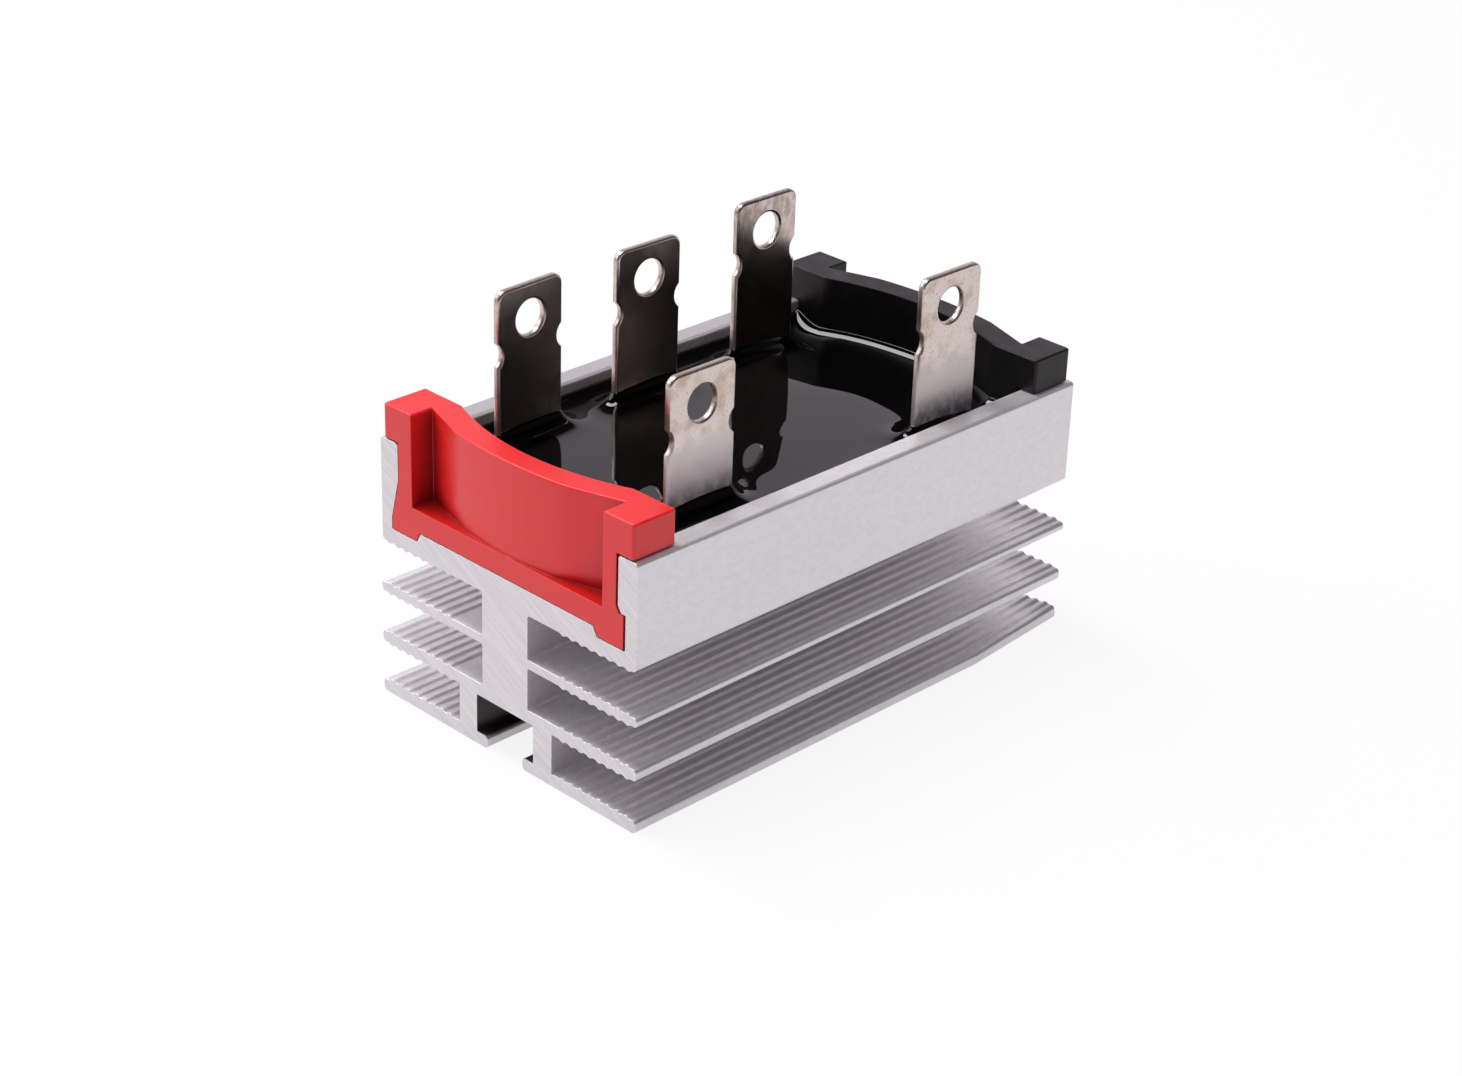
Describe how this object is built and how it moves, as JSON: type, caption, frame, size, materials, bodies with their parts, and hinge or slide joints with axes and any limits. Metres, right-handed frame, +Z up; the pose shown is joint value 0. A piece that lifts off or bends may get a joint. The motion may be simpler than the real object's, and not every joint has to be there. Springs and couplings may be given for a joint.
{
  "type": "bridge rectifier",
  "caption": "Three-phase bridge rectifier module: finned aluminium trough with red and black end caps, black potting and upright blade terminals.",
  "frame": {"origin": "middle of the body's length and width at its underside", "axes": "+X along the body towards the black end cap, +Y towards the row of three terminals, +Z up towards the blades' tops"},
  "size_m": [0.0674, 0.0406, 0.0479],
  "materials": {
    "extruded_aluminium": "bare extrusion, satin, with saw marks on the cut ends",
    "red_plastic": "moulded, satin",
    "black_plastic": "moulded, satin",
    "potting_compound": "cast, mirror smooth",
    "tinned_copper": "plated strip, bright, lightly handled",
    "bare_copper": "bare copper",
    "ceramic": "alumina, matt",
    "molybdenum": "ground",
    "silicon": "metallised"
  },
  "bodies": {
    "root": {"ac_strap_1": "bare_copper", "ac_strap_2": "bare_copper", "ac_strap_3": "bare_copper", "ac_terminal_1": "tinned_copper", "ac_terminal_2": "tinned_copper", "ac_terminal_3": "tinned_copper", "diode_die_minus_1": "silicon", "diode_die_minus_2": "silicon", "diode_die_minus_3": "silicon", "diode_die_plus_1": "silicon", "diode_die_plus_2": "silicon", "diode_die_plus_3": "silicon", "end_cap_black": "black_plastic", "end_cap_red": "red_plastic", "heatsink": "extruded_aluminium", "insulating_plate": "ceramic", "lower_buffer_minus_1": "molybdenum", "lower_buffer_minus_2": "molybdenum", "lower_buffer_minus_3": "molybdenum", "lower_buffer_plus_1": "molybdenum", "lower_buffer_plus_2": "molybdenum", "lower_buffer_plus_3": "molybdenum", "minus_rail": "bare_copper", "minus_terminal": "tinned_copper", "plus_rail": "bare_copper", "plus_terminal": "tinned_copper", "potting": "potting_compound", "upper_buffer_minus_1": "molybdenum", "upper_buffer_minus_2": "molybdenum", "upper_buffer_minus_3": "molybdenum", "upper_buffer_plus_1": "molybdenum", "upper_buffer_plus_2": "molybdenum", "upper_buffer_plus_3": "molybdenum"}
  },
  "joints": []
}
